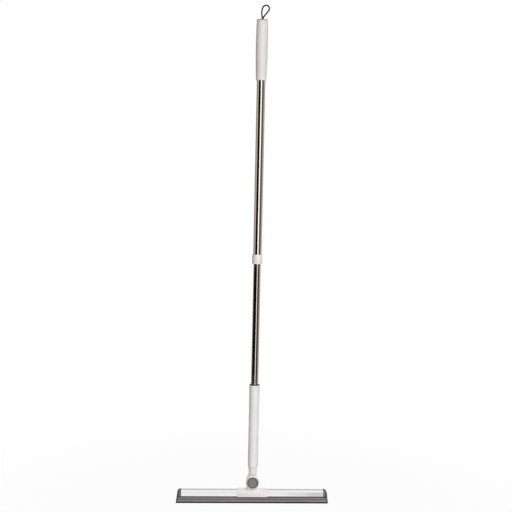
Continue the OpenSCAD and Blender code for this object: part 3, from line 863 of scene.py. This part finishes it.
@dataclass
class HangingLoop:
    """The cord loop above the grip, and the stopper knot that holds it inside the end cap.

    Attributes:
        cap_top: Height of the end cap's top.
        knot_top: Height of the cap's inner floor, where the knot bears.
        diameter: The cord's diameter.
        strands: Strands each way in the braid.
        pitch: Distance between strands along the cord.
        relief: Depth of the braid.
        step: Distance between the rings of the loop.
        around: Points in each ring of the loop.
        knot_around: Points in each ring of the knot.
        knot_steps: Rings of the knot.
        squeeze: Radius of the cord in the knot, as a share of its diameter.
        route: The loop's route in millimetres: right of the pole's axis, behind it, above the cap.
    """

    cap_top: float
    knot_top: float
    diameter: float = 3.6 * MM
    strands: int = 8
    pitch: float = 1.6 * MM
    relief: float = 0.24 * MM
    step: float = 0.17 * MM
    around: int = 64
    knot_around: int = 40
    knot_steps: int = 260
    squeeze: float = 0.44
    route: Tuple[Point, ...] = (
        (-0.6, -1.75, 0), (-0.6, -1.75, 3.2), (-0.8, -1.6, 6.6), (-1.7, -1.4, 10.6),
        (-1.9, -1.2, 15), (-1.9, -0.9, 19.3), (-1.6, -0.75, 23.2), (-0.9, -0.6, 27.2),
        (1, -0.45, 31.1), (4, -0.3, 34.7), (8.4, -0.1, 36.3), (12.9, 0.1, 35.4),
        (15.8, 0.3, 32.7), (16.9, 0.45, 29), (16.6, 0.6, 25.6), (14.9, 0.75, 22.2),
        (12.2, 0.9, 18.8), (9, 1.05, 15), (5.8, 1.2, 11), (3, 1.5, 7.2), (1.6, 1.75, 4),
        (1.1, 1.75, 0))

    def middle_line(self) -> np.ndarray:
        """The loop's middle line, from the knot out through the cap and back.

        Returns:
            Points at even steps.
        """
        out = np.array(self.route) * MM + np.array([0.0, 0.0, self.cap_top])
        low = out[[0, 0, -1, -1]]
        low[:, 2] = [self.knot_top, (self.knot_top + self.cap_top) / 2,
                     (self.knot_top + self.cap_top) / 2, self.knot_top]
        points = np.concatenate([low[:2], out, low[2:]])
        return smooth_line(points, self.step)

    def build(self) -> None:
        line = self.middle_line()
        normal = np.broadcast_to([0.0, 1.0, 0.0], line.shape)
        rings = braided_rings(line, normal, (self.diameter + self.relief) / 2, self.strands,
                              self.pitch, self.relief, self.around)
        braid = closed_tube("cord_loop", rings, v_along(line))
        loop = new_piece("cord_loop", braid, Body.UPPER, Slot.CORD, "hanging_loop")
        knot = new_piece("cord_knot", self.knot_mesh(), Body.UPPER, Slot.CORD, "loop_knot")

    def knot_mesh(self) -> bpy.types.Mesh:
        """The stopper: the cord wound in a trefoil under the cap's inner floor.

        The middle line is the trefoil x = r (sin t + 2 sin 2t) / 3, y = r (cos t - 2 cos 2t) / 3,
        with its height -h sin 3t, squeezed into the space of the solid it stands for. It stops
        just short of a full turn, so that the cord's two ends don't meet.

        Returns:
            The knot's mesh.
        """
        lo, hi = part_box("loop_knot")
        thick = self.diameter * self.squeeze
        reach = (hi.x - lo.x) / 2 - thick
        tall = (hi.z - lo.z) / 2 - thick
        t = np.linspace(0.35, 0.35 + 2 * np.pi * 0.985, self.knot_steps)
        line = np.stack([reach * (np.sin(t) + 2 * np.sin(2 * t)) / 3,
                         reach * (np.cos(t) - 2 * np.cos(2 * t)) / 3,
                         (lo.z + hi.z) / 2 - tall * np.sin(3 * t)], axis=1)
        normal = np.broadcast_to([0.0, 0.0, 1.0], line.shape) + 0.2 * line / reach
        rings = braided_rings(line, normal, thick, self.strands, self.pitch, self.relief,
                              self.knot_around)
        return closed_tube("cord_knot", rings, v_along(line))


@dataclass
class UpperPole:
    """The upper tube with its collar, bush, grip and end cap.

    Attributes:
        plastic: The nodes of plain white plastic.
    """

    plastic: Tuple[str, ...] = ("hand_grip", "pole_collar")

    def build(self) -> None:
        """Dresses the nodes of the upper pole."""
        dress(self.plastic, Slot.WHITE_PLASTIC)
        # The end cap's round top edge gets painted shade.
        dress(("grip_end_cap",), Slot.WHITE_PLASTIC, GRIP_RIM_SHADE_FINISH)
        dress(("upper_tube",), Slot.STAINLESS)
        dress(("guide_bush",), Slot.INNER_NYLON)


@dataclass
class LowerPole:
    """The lower tube with its sleeve, ring and neck, and the twist lock in its top.

    Attributes:
        edge: Round of the neck's edges.
    """

    edge: float = 0.5 * MM

    def build(self) -> None:
        """Dresses the nodes of the lower pole and the lock, and rounds the neck's edges."""
        soft_edged("neck", "swivel_neck", Body.LOWER, Slot.WHITE_PLASTIC, self.edge)
        dress(("lower_sleeve",), Slot.WHITE_PLASTIC)
        dress(("mouth_ring",), Slot.BLACK_RUBBER)
        dress(("lower_tube",), Slot.STAINLESS)
        dress(("tube_rivet", "cam_screw"), Slot.FASTENER)
        dress(("pivot_bush", "cam_plug", "cam_retainer"), Slot.INNER_NYLON)
        dress(("cam_ring",), Slot.BLACK_NYLON)


@dataclass
class RubberBlade:
    """The ribbed rubber blade: a wiping lip, two beads with a groove between, and a root.

    Attributes:
        half_length: Half the length of the wiping edge.
        slant: How far each end leans in over its height.
        root_half: Half the length of the root in the channel.
        shoulder: Height of the top that bears on the channel.
        end_round: Length over which each end draws in.
        end_draw: How far it draws in.
        wave: How far the lip waves from side to side.
        wave_top: Height at which the wave has died out.
        lip: Corners of half the lip's section, in millimetres.
        beads: Centre, height, radius, first angle and number of points of each bead.
        groove: Corners between the beads.
        root: Corners above them.
    """

    half_length: float = BLADE_HALF
    slant: float = 3.2 * MM
    root_half: float = 187.0 * MM
    shoulder: float = 21.95 * MM
    end_round: float = 0.8 * MM
    end_draw: float = 0.5 * MM
    wave: float = 0.05 * MM
    wave_top: float = 5.0 * MM
    lip: Pairs = ((0, 0), (1.8, 0), (2.0, 3.8))
    beads: Tuple[Tuple[float, ...], ...] = ((3.9, 7.2, 2.8, -80, 21), (4.9, 15.3, 2.9, -75, 19))
    groove: Pairs = ((4.0, 10.4), (4.0, 12.0))
    root: Pairs = ((4.9, 18.6), (4.9, 21.95), (3.2, 21.95), (3.2, 23.6), (9.4, 23.6), (9.4, 27),
                   (0, 27))

    def outline(self) -> np.ndarray:
        """Half the section, from the edge up over the beads to the root.

        A bead is the arc (c + r cos a, h + r sin a) of its centre c, h and radius r, up to 80
        degrees.

        Returns:
            Points as pairs of distance from the middle plane and height, in metres.
        """
        arcs = []
        for centre, height, radius, start, count in self.beads:
            a = np.radians(np.linspace(start, 80, int(count)))
            arc = radius * np.stack([np.cos(a), np.sin(a)], axis=1)
            arcs.append(arc + np.array([centre, height]))
        corners = np.concatenate([self.lip, arcs[0], self.groove, arcs[1], self.root])
        return rounded(corners, 0.3, 0.3)

    def build(self) -> None:
        """Carries the outline along X, with slanted ends and softened end corners.

        Station t runs from -1 to 1, and X is t times the half length at that height, which falls
        by the slant from the edge to the shoulder. Each end draws in by a quarter circle. The lip
        leans by the wave times a sum of two sines of X, and less the higher it is.
        """
        half = self.outline()
        turn = 1 - np.sin(np.linspace(0, np.pi / 2, 6))
        near = 1.0 - self.end_round / self.half_length * turn
        t = np.concatenate([-near[::-1], np.linspace(-0.992, 0.992, 97), near])
        y, z = half[:, 0], half[:, 1]
        reach = np.where(z > self.shoulder + 0.2 * MM, self.root_half,
                         self.half_length - self.slant * z / self.shoulder)
        x = t[:, None] * reach[None, :]
        close = ((np.abs(t) - near[0]) / (1 - near[0])).clip(0.0, 1.0)
        draw = self.end_draw * (1 - np.sqrt(1 - close ** 2))
        across = (y[None, :] - draw[:, None]).clip(0.0) * (y > 0)[None, :]
        low = (1 - z / self.wave_top).clip(0.0, 1.0)
        sines = (np.sin(x / (21.0 * MM)) + 0.6 * np.sin(x / (8.3 * MM) + 1.3)) / 1.6
        lean = self.wave * sines * low[None, :]
        mesh = loft("ribbed_blade", np.stack([x, across, np.broadcast_to(z, x.shape)], axis=-1))
        points = np.empty(len(mesh.vertices) * 3)
        mesh.vertices.foreach_get("co", points)
        points = points.reshape(len(t), -1, 3)
        points[:, :, 1] += np.concatenate([lean, lean[:, -2:0:-1]], axis=1)
        mesh.vertices.foreach_set("co", points.ravel())
        new_piece("ribbed_blade", mesh, Body.HEAD, Slot.GREY_RUBBER, "wiper_blade")


@dataclass
class EndCap:
    """One end cap of the channel: a flange, a waist with a painted highlight, and a round outer
    lobe.

    Attributes:
        side: 1 for the right end, -1 for the left.
        start: Distance of its inner face from the head's middle.
        length: Its length, in millimetres like the rest.
        section: Corners of half its section.
        swell: Distances from the inner face, each with how far the section stands proud there.
        arc_start: Distance from the inner face at which the top begins to fall.
        arc_height: Height of the middle of the arc that it falls by.
        arc_radius: Radius of that arc.
        nose_start: Distance from the inner face at which the nose begins.
        nose_height: Height of the top there.
        nose_fall: How steeply the nose falls.
    """

    side: int
    start: float = 187.05 * MM
    length: float = 11.0
    section: Pairs = ((0, 22.1), (11, 22.1), (11, 32.2), (6, 36.8), (0, 36.8))
    swell: Pairs = (
        (0, 0.5), (0.4, 1), (3.0, 1), (3.7, 0.75), (4.1, 0.35), (6.1, 0.35), (6.6, 0.7), (7.2, 0.9),
        (8.2, 0.7), (9.3, -0.1), (10.1, -1.4), (10.6, -2.8), (11.0, -5.0))
    arc_start: float = 2.1
    arc_height: float = 30.3
    arc_radius: float = 7.5
    nose_start: float = 9.56
    nose_height: float = 31.1
    nose_fall: float = 6.15

    def build(self) -> None:
        """Carries the section along X, swelling and drawing in.

        At a distance d from the inner face the section stands proud by a line through given
        values: a flange, a shallow waist, a lobe, and a nose that closes in. Its height follows
        the cap's top, which is level, then an arc, then a steep straight line.
        """
        d = np.linspace(0.0, self.length, 60)
        proud = np.interp(d, *np.transpose(self.swell))
        fall = (d - self.arc_start).clip(0.0, self.nose_start - self.arc_start)
        arc = self.arc_height + np.sqrt(self.arc_radius ** 2 - fall ** 2)
        nose = self.nose_height - (d - self.nose_start) * self.nose_fall
        top = np.where(d < self.nose_start, arc, nose)
        half = rounded(self.section, 0.4, 1.0)
        foot = self.section[0][1] * MM
        tall = half[:, 1] - foot
        width = half[:, 0] * (1 + proud[:, None] / self.section[1][0])
        height = foot + tall / tall.max() * (top[:, None] * MM - foot)
        x = np.broadcast_to((self.start + d * MM)[:, None], width.shape)
        halves = np.stack([x, width, height], axis=-1)
        if self.side < 0:
            halves = halves[::-1] * np.array([-1.0, 1.0, 1.0])
        end = "right" if self.side > 0 else "left"
        mesh = loft("cap_" + end, halves)
        new_piece("cap_" + end, mesh, Body.HEAD, Slot.GREY_PLASTIC, "end_cap_" + end)


@dataclass
class PivotDisc:
    """One dished disc over the pivot, with the ring that snaps into the ear behind it.

    Attributes:
        side: -1 for the front, 1 for the rear.
        pivot: Height of the pivot.
        around: Points round the disc.
        profile: Corners in millimetres: distance from the pivot's axis, and along it. They run
            from the axis over the snap ring and the rim to the dished face.
    """

    side: int
    pivot: float = PIVOT_HEIGHT
    around: int = 96
    profile: Pairs = (
        (0.3, 15.4), (9.2, 15.4), (12.2, 14.2), (12.2, 9.8), (13.6, 9.8), (13.6, 11.05),
        (15, 11.05), (15, 18), (11.4, 18), (10.6, 17.0), (6.3, 17.0), (5.9, 16.6),
        (4.9, 16.6), (4.5, 17.05), (0.3, 17.25))

    def build(self) -> None:
        """Turns the profile about the pivot's axis.

        Point (r, t) becomes (r cos a, s t, p - s r sin a) with s the side and p the pivot's
        height.
        """
        profile = rounded(self.profile, 0.25, 0.4)
        a = np.linspace(0.0, 2 * np.pi, self.around, endpoint=False)
        r, t = profile[:, :1], profile[:, 1:]
        rings = np.stack([r * np.cos(a), np.broadcast_to(self.side * t, (len(r), self.around)),
                          self.pivot - self.side * r * np.sin(a)], axis=-1)
        face = "front" if self.side < 0 else "rear"
        mesh = closed_tube("disc_" + face, rings, profile[:, 1])
        new_piece("disc_" + face, mesh, Body.HEAD, Slot.GREY_PLASTIC, "pivot_cap_" + face,
                  DISC_FINISH)


@dataclass
class WiperHead:
    """The saddle on its channel, the pivot, the end caps and the blade.

    Attributes:
        edge: Round of the saddle's edges.
    """

    edge: float = 0.5 * MM

    def build(self) -> None:
        """Dresses the nodes of the head and builds its soft and rounded pieces."""
        soft_edged("bracket", "saddle_bracket", Body.HEAD, Slot.WHITE_PLASTIC, self.edge)
        dress(("head_channel",), Slot.ALUMINIUM)
        dress(("pivot_bolt", "pivot_nut", "bolt_washers", "bracket_screws"), Slot.FASTENER)
        dress(("friction_washers",), Slot.INNER_NYLON)
        RubberBlade().build()
        for side in (-1, 1):
            EndCap(side).build()
            PivotDisc(side).build()


@dataclass
class View:
    """The photograph's viewing place, fitted to the pole and the ends of the head.

    Angles are in degrees.

    Attributes:
        distance: From the pole's axis, on the floor plan.
        bearing: Angle of the camera's place round the pole.
        height: Height of the camera.
        yaw: Turn of the view to the right.
        pitch: Tilt of the view upwards.
        roll: Turn about the line of sight.
        focal: Focal length in pixels of a frame 512 wide.
    """

    distance: float = 2.5
    bearing: float = -3.2
    height: float = 0.854
    yaw: float = 3.121
    pitch: float = -4.579
    roll: float = 1.227
    focal: float = 971.05

    def build(self) -> None:
        """Makes the camera."""
        data = bpy.data.cameras.new("camera")
        data.sensor_fit = "HORIZONTAL"
        data.sensor_width = SENSOR_WIDTH
        data.lens = SENSOR_WIDTH * self.focal / FRAME_WIDTH
        data.clip_end = 60.0
        yaw, pitch, roll, bearing = (math.radians(a) for a in (self.yaw, self.pitch, self.roll,
                                                               self.bearing))
        ahead = Vector((math.sin(yaw) * math.cos(pitch), math.cos(yaw) * math.cos(pitch),
                        math.sin(pitch)))
        right = Vector((math.cos(yaw), -math.sin(yaw), 0.0))
        up = right.cross(ahead)
        right, up = (right * math.cos(roll) + up * math.sin(roll),
                     up * math.cos(roll) - right * math.sin(roll))
        turn = Matrix((right, up, -ahead)).transposed().to_4x4()
        place = Vector((self.distance * math.sin(bearing), -self.distance * math.cos(bearing),
                        self.height))
        camera = bpy.data.objects.new("camera", data)
        camera.matrix_world = Matrix.Translation(place) @ turn
        bpy.context.scene.collection.objects.link(camera)
        bpy.context.scene.camera = camera


@dataclass(frozen=True)
class Card:
    """A glowing studio card that only reflections show.

    Attributes:
        name: Its name.
        start: Where it begins.
        end: Where it ends.
        glow: Colour and brightness.
    """

    name: str
    start: float
    end: float
    glow: Colour

    def points(self) -> np.ndarray:
        """The card's grid of points, as an array of rows by columns by three."""
        raise NotImplementedError

    def build(self) -> None:
        """Makes the card from its grid of points."""
        points = self.points()
        faces = grid_quads(*points.shape[:2], False)
        mesh = bpy.data.meshes.new(self.name)
        mesh.from_pydata(points.reshape(-1, 3), [], faces.tolist())
        mesh.update()
        material = bpy.data.materials.new(self.name)
        graph = Graph.of(material)
        shine = graph.add("Emission", {"Color": (*self.glow, 1.0), "Strength": 1.0})
        graph.add("OutputMaterial", {"Surface": shine.outputs[0]})
        mesh.materials.append(material)
        obj = bpy.data.objects.new(self.name, mesh)
        obj.visible_camera = obj.visible_diffuse = obj.visible_shadow = False
        obj.visible_transmission = obj.visible_volume_scatter = False
        bpy.context.scene.collection.objects.link(obj)


@dataclass(frozen=True)
class CurvedCard(Card):
    """A card that stands round the pole. It starts and ends in degrees to the right of the front.

    Attributes:
        radius: Distance from the pole.
        low: Height of its foot.
        high: Height of its top.
    """

    radius: float = 1.3
    low: float = 0.005
    high: float = 1.75

    def points(self) -> np.ndarray:
        """Points (R sin a, -R cos a, z), for angle a and height z on a grid."""
        a, z = np.meshgrid(np.radians(np.linspace(self.start, self.end, 25)),
                           np.linspace(self.low, self.high, 5), indexing="ij")
        return np.stack([self.radius * np.sin(a), -self.radius * np.cos(a), z], axis=-1)


@dataclass(frozen=True)
class FloorCard(Card):
    """A card on the floor in front of the head's right end. It starts and ends along the head.

    Attributes:
        front: Its front edge.
        back: Its back edge.
        height: Height above the floor.
    """

    front: float = -0.6
    back: float = -0.02
    height: float = 0.002

    def points(self) -> np.ndarray:
        """Points (x, y, h) on a grid of x and y."""
        x, y = np.meshgrid([self.start, self.end], [self.front, self.back], indexing="ij")
        return np.stack([x, y, np.full(x.shape, self.height)], axis=-1)


@dataclass(frozen=True)
class Lamp:
    """A square soft lamp that reflections don't show.

    Attributes:
        name: Its name.
        place: Where it stands.
        aim: The point it faces.
        size: Its side.
        power: Its power in watts.
    """

    name: str
    place: Point
    aim: Point
    size: float
    power: float

    def build(self) -> None:
        """Makes the lamp and turns it to its aim."""
        data = bpy.data.lights.new(self.name, "AREA")
        data.size = self.size
        data.energy = self.power
        obj = bpy.data.objects.new(self.name, data)
        obj.location = self.place
        obj.rotation_mode = "QUATERNION"
        obj.rotation_quaternion = (Vector(self.aim) - Vector(self.place)).to_track_quat("-Z", "Y")
        obj.visible_glossy = False
        bpy.context.scene.collection.objects.link(obj)


BLACK = (0.006, 0.004, 0.003)


@dataclass
class Studio:
    """The white world, the pale floor, the cards that the polished tubes mirror, and the lamps.

    Attributes:
        ambient: Level of the light from all round.
        floor_rings: Radii of the floor's rings of points.
        floor_sides: Points in each of them.
        floor_level: Height of the floor, a hair below the blade.
        floor_grey: Its grey, where it throws light back.
        floor_clear: How much of the world shows through it, near the part and far from it.
        floor_fade: Distances between which that changes.
        cards: The cards.
        lamps: The lamps.
    """

    ambient: float = 0.125
    floor_rings: Tuple[float, ...] = (0.4, 1.0, 3.0, 9.0)
    floor_sides: int = 64
    floor_level: float = -0.4 * MM
    floor_grey: float = 0.42
    floor_clear: Tuple[float, float] = (0.96, 1.0)
    floor_fade: Tuple[float, float] = (0.3, 1.3)
    cards: Tuple[Card, ...] = (
        CurvedCard("card_far_left", -172.0, -135.0, (0.56, 0.54, 0.50)),
        CurvedCard("card_back_left", -135.0, -98.0, (0.34, 0.32, 0.29)),
        CurvedCard("card_near_left", -98.0, -66.0, (0.70, 0.67, 0.62)),
        CurvedCard("card_black", -66.0, -4.0, BLACK),
        CurvedCard("card_strip", -4.0, 25.5, (1.85, 1.82, 1.78)),
        CurvedCard("card_brown", 25.5, 81.0, (0.18, 0.125, 0.12)),
        CurvedCard("card_back_right", 81.0, 172.0, (0.62, 0.585, 0.565)),
        CurvedCard("card_back", 172.0, 188.0, (0.6, 0.58, 0.56), low=0.1),
        CurvedCard("card_low_black", -108.0, 0.0, BLACK, radius=1.25, high=0.545),
        CurvedCard("card_low_brown", 14.0, 78.0, (0.09, 0.06, 0.055), radius=1.25, high=0.545),
        FloorCard("card_floor_mid", 0.10, 0.15, (0.86, 0.855, 0.85)),
        FloorCard("card_floor_end", 0.15, 0.5, (0.70, 0.69, 0.68)),
    )
    lamps: Tuple[Lamp, ...] = (
        Lamp("front", (0.72, -1.8, 0.36), (0.0, 0.0, 0.15), 1.0, 18.0),
        Lamp("left", (-1.3, -2.8, 0.4), (0.0, 0.0, 0.2), 1.2, 8.0),
        Lamp("top", (1.6, -7.4, 9.0), (0.6, -3.5, 0.0), 4.6, 800.0),
        Lamp("back", (0.0, 3.2, 1.4), (0.0, 0.0, 0.6), 1.8, 100.0),
    )

    def seen(self, graph: Graph) -> Socket:
        """1 for camera, glossy and transmission rays, and 0 for the rest.

        Args:
            graph: The material's or the world's graph.

        Returns:
            The factor.
        """
        path = graph.add("LightPath").outputs
        some = graph.maths("MAXIMUM", path["Is Camera Ray"], path["Is Glossy Ray"])
        return graph.maths("MAXIMUM", some, path["Is Transmission Ray"])

    def build(self) -> None:
        """Makes the world, floor, cards and lamps."""
        bpy.context.scene.view_settings.view_transform = "Standard"
        self.build_world()
        self.build_floor()
        for thing in (*self.cards, *self.lamps):
            thing.build()

    def build_world(self) -> None:
        """A world that is white where it is seen, and dimmer where it lights the object."""
        world = bpy.data.worlds.new("studio")
        bpy.context.scene.world = world
        graph = Graph.of(world)
        level = graph.ramp(self.seen(graph), 0.0, 1.0, self.ambient, 1.0)
        back = graph.add("Background", {"Color": (1.0, 1.0, 1.0, 1.0), "Strength": level})
        graph.add("OutputWorld", {"Surface": back.outputs[0]})

    def build_floor(self) -> None:
        """A pale disc, (r sin a, r cos a, h) on a grid of radius and angle, that keeps a shadow.

        Where it is seen it lets nearly all of the white world behind it through, so that what a
        joint swings below it still shows.
        """
        sides = self.floor_sides
        r, a = np.meshgrid(self.floor_rings, np.linspace(0.0, 2 * np.pi, sides, endpoint=False),
                           indexing="ij")
        level = np.full(r.shape, self.floor_level)
        points = np.stack([r * np.sin(a), r * np.cos(a), level], axis=-1)
        faces = grid_quads(len(self.floor_rings), sides, True)[:, ::-1]
        mesh = bpy.data.meshes.new("floor")
        mesh.from_pydata(points.reshape(-1, 3), [], [list(range(sides))[::-1]] + faces.tolist())
        mesh.update()
        material = bpy.data.materials.new("floor")
        graph = Graph.of(material)
        plain = graph.add("BsdfDiffuse", {"Color": (*[self.floor_grey] * 3, 1.0)})
        clear = graph.add("BsdfTransparent")
        away = graph.add("VectorMath", {0: graph.add("TexCoord").outputs["Object"]},
                         operation="LENGTH").outputs["Value"]
        share = graph.ramp(away, *self.floor_fade, *self.floor_clear)
        mixed = graph.add("MixShader", {0: graph.maths("MULTIPLY", self.seen(graph), share),
                                        1: plain.outputs[0], 2: clear.outputs[0]})
        graph.add("OutputMaterial", {"Surface": mixed.outputs[0]})
        mesh.materials.append(material)
        obj = bpy.data.objects.new("floor", mesh)
        bpy.context.scene.collection.objects.link(obj)


def main() -> None:
    """Builds the view, the cord, the sub-assemblies and the studio."""
    logging.basicConfig(level=logging.INFO, format="%(name)s %(message)s")
    View().build()
    cap_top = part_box("grip_end_cap")[1].z
    knot_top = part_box("loop_knot")[1].z + 0.05 * MM
    HangingLoop(cap_top, knot_top).build()
    UpperPole().build()
    LowerPole().build()
    WiperHead().build()
    Studio().build()


if __name__ == "__main__":
    main()
